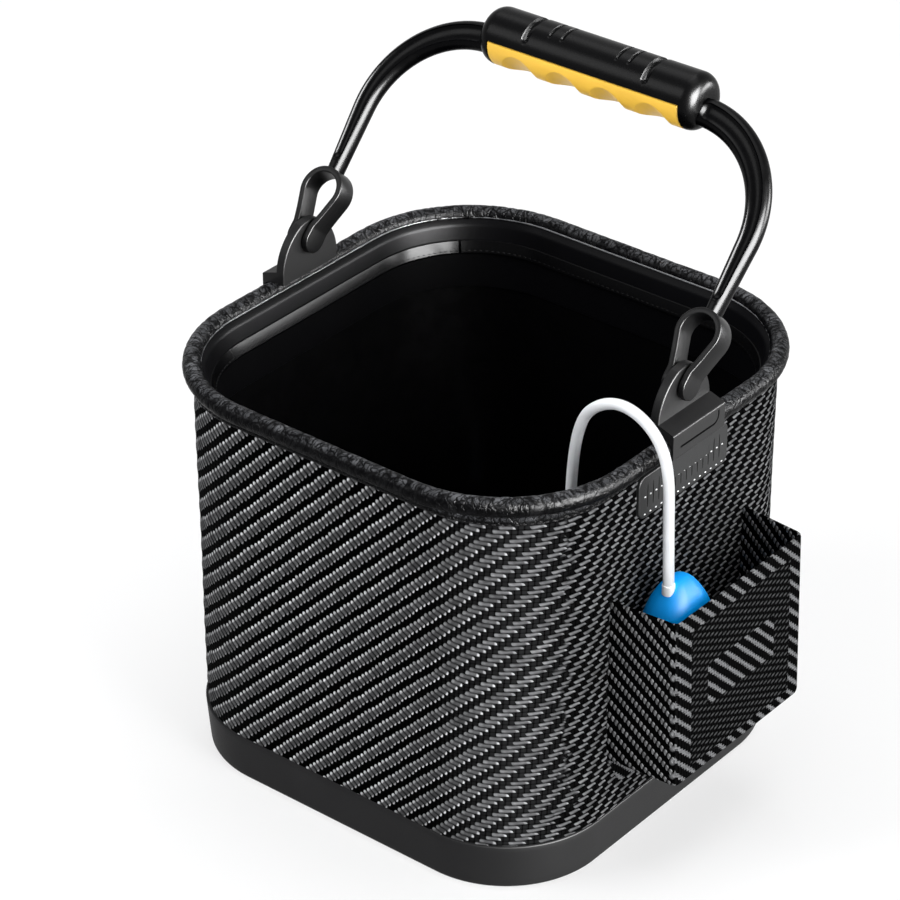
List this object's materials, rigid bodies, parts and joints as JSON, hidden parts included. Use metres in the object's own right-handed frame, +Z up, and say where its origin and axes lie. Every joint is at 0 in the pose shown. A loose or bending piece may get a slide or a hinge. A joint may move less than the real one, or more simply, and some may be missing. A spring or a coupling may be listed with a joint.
{
  "type": "aerated bait bucket",
  "caption": "Square open bucket with a woven shell, a grained rim, a swinging bail handle with a soft grip, and a side pocket holding a battery air pump with a tube and air stone.",
  "frame": {"origin": "centre of the base tray's underside, on the floor", "axes": "+Z up; +X to the wall with the side pocket and the air pump; the bail swings about X, and at rest its grip leans towards +Y"},
  "size_m": [0.2825, 0.25, 0.3498],
  "materials": {
    "woven_eva": "woven carbon-look film on EVA sheet",
    "grained_piping": "creased grain",
    "rim_wire": "drawn wire",
    "liner_film": "gloss black film",
    "collar_black": "satin with a glossy ridge",
    "base_black": "smooth satin",
    "board_grey": "plain",
    "bracket_black": "fine matte",
    "flange_grey": "ribbed and stitched",
    "bail_black": "gloss",
    "clevis_black": "satin",
    "pin_steel": "turned",
    "grip_black": "satin",
    "grip_yellow": "satin soft touch",
    "pump_blue": "satin",
    "cover_rubber": "matte",
    "seal_rubber": "matte",
    "lamp_clear": "clear",
    "board_green": "solder mask",
    "switch_black": "plain",
    "port_steel": "plated",
    "battery_sleeve": "shrink sleeve",
    "motor_steel": "plated can",
    "mechanism_white": "moulded acetal",
    "tube_silicone": "translucent white",
    "stone_grey": "sintered grains"
  },
  "bodies": {
    "bucket": {"air_stone": "stone_grey", "air_tube": "tube_silicone", "base_board": "board_grey", "base_tray": "base_black", "battery": "battery_sleeve", "binding_tape": "grained_piping", "button_switch": "switch_black", "case_seal": "seal_rubber", "charging_port": "port_steel", "chassis_screws": "motor_steel", "circuit_board": "board_green", "diaphragm": "seal_rubber", "diaphragm_rocker": "mechanism_white", "ear_bracket_left": "bracket_black", "ear_bracket_right": "bracket_black", "inner_liner": "liner_film", "lamp_lens": "lamp_clear", "outlet_hose": "seal_rubber", "port_cover_pin": "pin_steel", "pump_chassis": "mechanism_white", "pump_head": "mechanism_white", "pump_lower_case": "pump_blue", "pump_motor": "motor_steel", "pump_nipple": "mechanism_white", "pump_upper_case": "pump_blue", "rim_collar": "collar_black", "rim_piping": "grained_piping", "rim_wire": "rim_wire", "sewn_flange_left": "flange_grey", "sewn_flange_right": "flange_grey", "side_pocket": "woven_eva", "stone_fitting": "mechanism_white", "valve_cap": "mechanism_white", "wall_shell": "woven_eva"},
    "bail": {"bail_bow": "bail_black", "clevis_left": "clevis_black", "clevis_right": "clevis_black", "pivot_pin_left": "pin_steel", "pivot_pin_right": "pin_steel", "grip_shell": "grip_black", "grip_insert": "grip_yellow"},
    "button": {"power_button": "cover_rubber"},
    "cover": {"port_cover": "cover_rubber"},
    "rotor": {"motor_shaft": "motor_steel", "crank_hub": "mechanism_white"}
  },
  "joints": [
    {"name": "bail_swing", "type": "hinge", "parent": "bucket", "child": "bail", "pos_m": [0, 0, 0.241], "axis": [1, 0, 0], "range_deg": [-49.5, 112]},
    {"name": "power_button_press", "type": "slide", "parent": "bucket", "child": "button", "axis": [0, -1, 0], "range_m": [0, 0.0006], "stiffness_N_per_m": 400},
    {"name": "port_cover_swing", "type": "hinge", "parent": "bucket", "child": "cover", "pos_m": [0.1345, -0.0046, 0.085], "axis": [1, 0, 0], "range_deg": [0, 110]},
    {"name": "motor_spin", "type": "hinge", "parent": "bucket", "child": "rotor", "pos_m": [0.1345, -0.0246, 0.11], "axis": [0, 0, 1], "continuous": true}
  ]
}
